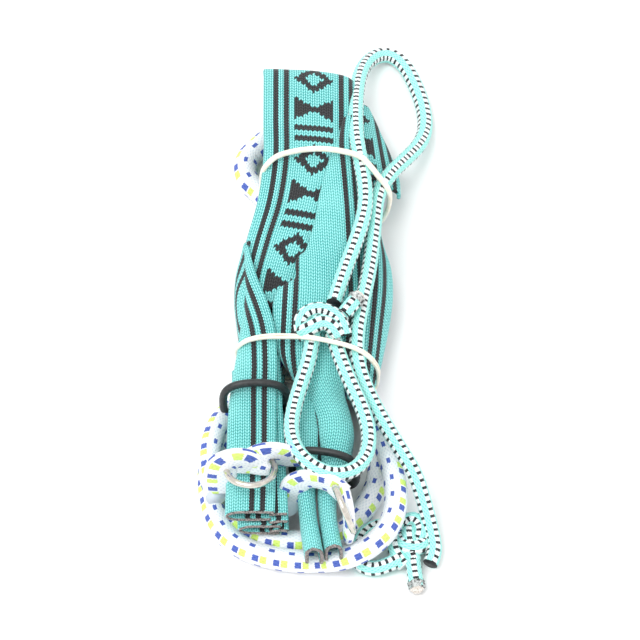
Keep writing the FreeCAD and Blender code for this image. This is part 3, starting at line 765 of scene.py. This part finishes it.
# ---------------------------------------------------------------- leash cord
LEASH_RUN = [
    (5.2, -12.6, 33.2), (8.6, 1, 32.4), (13.2, 16, 31.2), (17, 31, 30.2), (17.4, 43, 29.2),
    (15.6, 56, 28.6), (13.8, 70, 26.2), (13.6, 84, 22.0), (14, 97, 16.4), (15, 108.4, 12.2),
    (17.4, 118, 7.8), (21.6, 124.6, 4.4), (27.4, 126, 3.2), (32.6, 121.2, 3.2), (36.6, 112, 3.3),
    (39.8, 101, 3.6), (40.8, 90, 4.6), (38.4, 79.4, 8.0), (32.6, 68, 14.0), (26.4, 57, 19.8),
    (21.6, 45, 23.6), (20.4, 27, 24.8), (18.8, 8, 26.6),
    (15.8, -10, 29.2), (13.6, -26, 30), (14.2, -38, 28.2), (18.4, -49, 25.2), (23.8, -60, 23.4),
    (29.4, -70, 21.6), (35.8, -80, 18.2), (39.4, -89.5, 11.2), (42, -98, 5.4), (43.2, -106, 3.7),
    (41.2, -110.6, 3.3),
]
HAND_LOOP = [
    (-2.5, -25.5, 32.0), (-3.8, -36, 30.6), (-7, -47, 30.2), (-9.8, -58, 30.0), (-11, -69, 31.6),
    (-9.4, -79.4, 34.0), (-3.6, -86.6, 33.4), (4.4, -89.6, 31.6), (12.6, -86.6, 29.6), (17.6, -78.4, 27.4),
    (18.6, -67.4, 27.0), (15.8, -56.6, 28.4), (11.4, -46.6, 30.0), (7.4, -36, 31.2),
    (4.6, -25.5, 32.0),
]
LOWER_LOOP = [
    (32.5, -95, 5.2), (25.5, -92.4, 3.4), (17.5, -95.6, 3.1), (13.8, -103.2, 3.1), (14.5, -111, 3.1),
    (22, -113.4, 3.1), (30, -109, 4.6),
]
CORD_STEP = 0.45
BRAID = round_section(CORD, relief=0.12, strands=8, pitch=3.8)


def leash_line(route):
    return even(nurbs_line(route), CORD_STEP)


def leash_piece(name, line, nodes=(), turn=0.0, section=BRAID):
    piece = sweep(name, line, section, LEASH, segments=40, slot="teal_cord", twist=turn)
    if nodes:
        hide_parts(*nodes)
    return piece


def knot_wraps(name, routes, nodes):
    """The turns of cord that a knot shows, as one piece for each turn."""
    wraps = []
    for number, route in enumerate(routes):
        replaced = nodes if number == 0 else ()
        wraps.append(leash_piece(f"{name}_turn_{number + 1}", leash_line(route), replaced))
    return wraps


upper_turns = knot_wraps("leash_upper_knot", [
    [(-5.2, -27, 31), (-7.6, -24, 33.6), (-6.4, -19.6, 35.8), (-1.4, -17.2, 36.2), (3.8, -18.4, 36),
     (8, -22.2, 35.2), (9.2, -26.8, 32.6)],
    [(-5.2, -21.8, 30), (-7, -25.8, 33.4), (-3.8, -26.2, 36.4), (0.8, -23.8, 37.4), (4.8, -25.2, 36.4),
     (6.6, -28, 33.4)],
    [(-4.4, -18, 32), (-1, -21.4, 34.4), (3.4, -22.2, 34.8), (7, -19.4, 33.8), (9.4, -17.6, 33.4)],
], ("leash_upper_knot",))
lower_turns = knot_wraps("leash_lower_knot", [
    [(30.8, -97, 3.3), (31.8, -93.2, 5.2), (35.2, -92, 6.4), (38, -95, 5.8), (38, -100, 5.2),
     (35.4, -104, 3.6)],
    [(39.6, -100, 3.2), (38, -104.4, 5.4), (34.4, -106, 6.6), (30.8, -104, 5.8), (29.8, -99, 3.4)],
    [(33.4, -94.4, 3.2), (33, -99, 6.0), (33.6, -105, 6.2), (35, -109.6, 3.8)],
    [(28.4, -94.4, 3.2), (27.6, -101, 4.6), (28.4, -107.6, 4.8), (31.6, -111.4, 3.4)],
], ("leash_lower_knot",))

run_line = leash_line(LEASH_RUN)
loop_line = leash_line(HAND_LOOP)
lower_line = leash_line(LOWER_LOOP)
leash_run = leash_piece("leash_cord_run_braid", run_line, ("leash_cord_run",))
hand_loop = leash_piece("leash_hand_loop_braid", loop_line, ("leash_hand_loop",))
lower_loop = leash_piece("leash_lower_loop_braid", lower_line, ("leash_lower_loop",))


def cut_end(name, line, nodes, seed):
    """A short tail of cord whose cut end shows its core inside a melted sheath."""
    tail = leash_piece(f"{name}_tail", line, nodes)
    heading = Vector(line[-1] - line[-3]).normalized()
    tip = Vector(line[-1])

    def lumpy(radius, amount, number):
        def section(far, angle):
            lumps = np.array([[noise.noise(Vector((
                d * 1.1, 2.2 * math.cos(a), 2.2 * math.sin(a) + number * 9)))
                               for a in angle[0]] for d in far[:, 0]])
            taper = np.sqrt(np.clip(1 - (far / far[-1]) ** 4, 0.02, 1))
            return (radius + amount * lumps) * taper, (radius + amount * lumps) * taper
        return section

    sheath = np.array([tip - heading * 2.2, tip + heading * 1.0])
    core = np.array([tip - heading * 0.6, tip + heading * 1.9])
    ring = sweep(f"{name}_melted_sheath", even(sheath, 0.2), lumpy(3.3, 0.6, seed), FRAYED, segments=28,
                 slot="teal_cord")
    middle = sweep(f"{name}_cut_core", even(core, 0.2), lumpy(2.3, 0.9, seed + 3), CUT_CORE, segments=28,
                   slot="teal_cord")
    return [tail, ring, middle]


UPPER_TAIL = [(9, -18.6, 34.8), (11.4, -15.4, 35.4), (14.4, -11.4, 35.8)]
upper_tail = cut_end("leash_upper_end", leash_line(UPPER_TAIL),
                     ("leash_upper_end",), 1)
LOWER_TAIL = [(34.4, -107, 4.2), (35.2, -114, 3.6), (36.2, -121.4, 3.2)]
lower_tail = cut_end("leash_lower_end", leash_line(LOWER_TAIL),
                     ("leash_lower_end",), 2)


# ---------------------------------------------------------------- keeper rings and steel rings
def closed_even(points, step):
    """A smooth closed line through the points, resampled about step apart."""
    doubled = [*points[-2:], *points, *points[:3]]
    at = np.linspace(2, 2 + len(points), 40 * len(points), endpoint=False)
    dense = catmull(doubled, at)
    ring = np.concatenate([dense, dense[:1]])
    far = distances(ring)
    count = int(round(far[-1] / step))
    marks = np.linspace(0, far[-1], count, endpoint=False)
    return np.stack([np.interp(marks, far, ring[:, i]) for i in range(3)], axis=1)


def keeper_ring(name, node, body, turn, arch, wide=13.6, high=10.4):
    """A rubber O-ring stretched to an oval round its handle, with its mould line."""
    low, high_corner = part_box(node)
    middle = (low + high_corner) / 2 / MM
    points = []
    for step in range(48):
        a = 2 * math.pi * step / 48
        round_off = (abs(math.cos(a)) ** 3.1 + abs(math.sin(a)) ** 3.1) ** (-1 / 3.1)
        x = math.cos(a) * round_off * wide * 0.885
        z = math.sin(a) * round_off * high
        bowed = arch * max(math.sin(a), 0.0) ** 2
        points.append((middle.x + x, middle.y + turn * x + bowed, middle.z + z))
    line = closed_even(points, 0.5)

    def section(far, angle):
        flash = 0.05 * np.exp(-((np.cos(angle)) / 0.09) ** 2)
        return 1.5 + flash + 0 * far, 1.5 + flash + 0 * far

    piece = sweep(name, line, section, KEEPER_RUBBER, segments=40, side=(0, 1, 0), closed=True,
                  body=body, slot="grey_rubber")
    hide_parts(node)
    return piece


keeper_ring("left_rubber_keeper", "left_keeper_ring", "left_keeper", 0.03, 1.3)
keeper_ring("right_rubber_keeper", "right_keeper_ring", "right_keeper", -0.17, 1.0)


def welded_ring(name, node, body, centre, normal):
    """A steel ring of bent wire, with the small swell of its weld."""
    normal = Vector(normal).normalized()
    across = normal.orthogonal().normalized()
    beside = normal.cross(across)
    points = []
    for step in range(180):
        a = 2 * math.pi * step / 180
        points.append(Vector(centre) + (across * math.cos(a) + beside * math.sin(a)) * 9.0)
    line = np.array(points)

    def section(far, angle):
        weld = 0.12 * np.exp(-((far - 20.0) / 1.1) ** 2)
        return 1.25 + weld + 0 * angle, 1.25 + weld + 0 * angle

    piece = sweep(name, line, section, STEEL, segments=32, side=tuple(normal), closed=True, body=body,
                  slot="steel")
    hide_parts(node)
    return piece


tilt = math.radians(-13.5)
welded_ring("left_steel_wire_ring", "left_steel_ring", "left_ring", (-25.9, -84.6, 28.0),
            (0.0, -math.sin(tilt), math.cos(tilt)))
welded_ring("right_steel_wire_ring", "right_steel_ring", "right_ring", (9.0, -101.6, 26.4),
            (0.923, 0.315, 0.221))


# ---------------------------------------------------------------- rubber bands
def rubber_band(name, loop, side, strands, wide, high, node):
    """A stretched rubber band of one or more strands that twist slowly past each other."""
    line = closed_even(loop, 0.7)
    side = unit(np.array(side))
    far = distances(line)
    for number in range(strands):
        shift = (number - (strands - 1) / 2) * wide * 1.02
        sway = 0.14 * np.sin(2 * math.pi * far / far[-1] * 3 + number * 2.4) * (strands > 1)
        strand = line + side * (shift + sway)[:, None]
        piece = sweep(f"{name}_{number + 1}", strand, flat_section(high, wide, power=3.0), BAND_RUBBER,
                      segments=20, side=tuple(side), closed=True, slot="cream_rubber")
        if number == 0:
            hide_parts(node)


rubber_band("upper_band", [
    (-21.4, 51.4, 4.2), (-22.8, 53.2, 10), (-22.2, 54.4, 17), (-22, 54.8, 23), (-20.6, 55.6, 27.2),
    (-16, 59.2, 28.8), (-8, 61.2, 29.6), (0, 60.8, 31.2), (8, 59.2, 32), (15.4, 55.8, 33), (19.6, 52.2, 31),
    (22.6, 49.4, 28.2), (25.4, 47.4, 25), (26.6, 46.2, 19.6), (25.2, 45, 11), (21, 44.6, 4.2),
    (12, 46.4, 2.6),
    (0, 49.2, 2.4), (-12, 51.8, 2.6),
], (0.21, 0.91, -0.34), 1, 2.2, 1.9, "upper_rubber_band")
rubber_band("lower_band", [
    (-24.6, -23.6, 2.8), (-29.8, -23, 6.8), (-31, -23.4, 13), (-31.4, -24.6, 19.4), (-30.4, -25.6, 24),
    (-27, -25.5, 27.6), (-20.6, -24.8, 28.8), (-12, -25.8, 30.4), (-5, -29.4, 35), (3, -31.6, 35.8),
    (9.8, -33, 35), (14.4, -33.6, 32.8), (18, -33.8, 29.2), (20.4, -33.8, 24.6), (21.8, -33.4, 19.6),
    (22, -32.4, 13), (20.4, -31.8, 4.8), (12, -30.2, 1.9), (0, -28, 1.6), (-14, -25.4, 1.9),
], (0.18, 0.98, 0.0), 2, 1.0, 1.2, "lower_rubber_band")


# ---------------------------------------------------------------- stage, light and camera
SUN_SPREAD = math.radians(30)
SUN_STRENGTH = 1.3
SKY_STRENGTH = 1.1


def sunlight(name, place, aim, energy):
    lamp = bpy.data.lights.new(name, "SUN")
    lamp.energy = energy
    lamp.angle = SUN_SPREAD
    holder = bpy.data.objects.new(name, lamp)
    holder.location = place
    holder.rotation_euler = (Vector(aim) - Vector(place)).to_track_quat("-Z", "Y").to_euler()
    bpy.context.scene.collection.objects.link(holder)


floor_mesh = bpy.data.meshes.new("floor")
HALF_FLOOR = 6.0
floor_mesh.from_pydata([(-HALF_FLOOR, -HALF_FLOOR, 0), (HALF_FLOOR, -HALF_FLOOR, 0),
                        (HALF_FLOOR, HALF_FLOOR, 0), (-HALF_FLOOR, HALF_FLOOR, 0)], [], [(0, 1, 2, 3)])
floor = bpy.data.objects.new("floor", floor_mesh)
bpy.context.scene.collection.objects.link(floor)
floor_paint = Paint("floor", 0.9, specular=0.0)
floor_paint.shader.inputs["Base Color"].default_value = (0.95, 0.95, 0.95, 1.0)
floor_mesh.materials.append(floor_paint.material)

world = bpy.data.worlds.new("studio")
world.use_nodes = True
world.node_tree.nodes["Background"].inputs["Color"].default_value = (1.0, 1.0, 1.0, 1.0)
world.node_tree.nodes["Background"].inputs["Strength"].default_value = SKY_STRENGTH
scene = bpy.context.scene
scene.world = world
scene.view_settings.view_transform = "Standard"
sunlight("key", (-0.5, -0.3, 1.4), (0, 0, 0), SUN_STRENGTH)

CAMERA_HEIGHT_ANGLE = math.radians(55)
CAMERA_AWAY = 4.0
FRAME_WIDE = 0.2434
AIM = Vector((0.0, 0.003, 0.0))
camera_data = bpy.data.cameras.new("camera")
camera_data.sensor_width = 36.0
camera_data.lens = 36.0 * CAMERA_AWAY / FRAME_WIDE
camera_data.clip_end = 50.0
camera = bpy.data.objects.new("camera", camera_data)
camera.location = AIM + CAMERA_AWAY * Vector(
    (0.0, -math.cos(CAMERA_HEIGHT_ANGLE), math.sin(CAMERA_HEIGHT_ANGLE)))
camera.rotation_euler = (math.pi / 2 - CAMERA_HEIGHT_ANGLE, 0.0, 0.0)
scene.collection.objects.link(camera)
scene.camera = camera
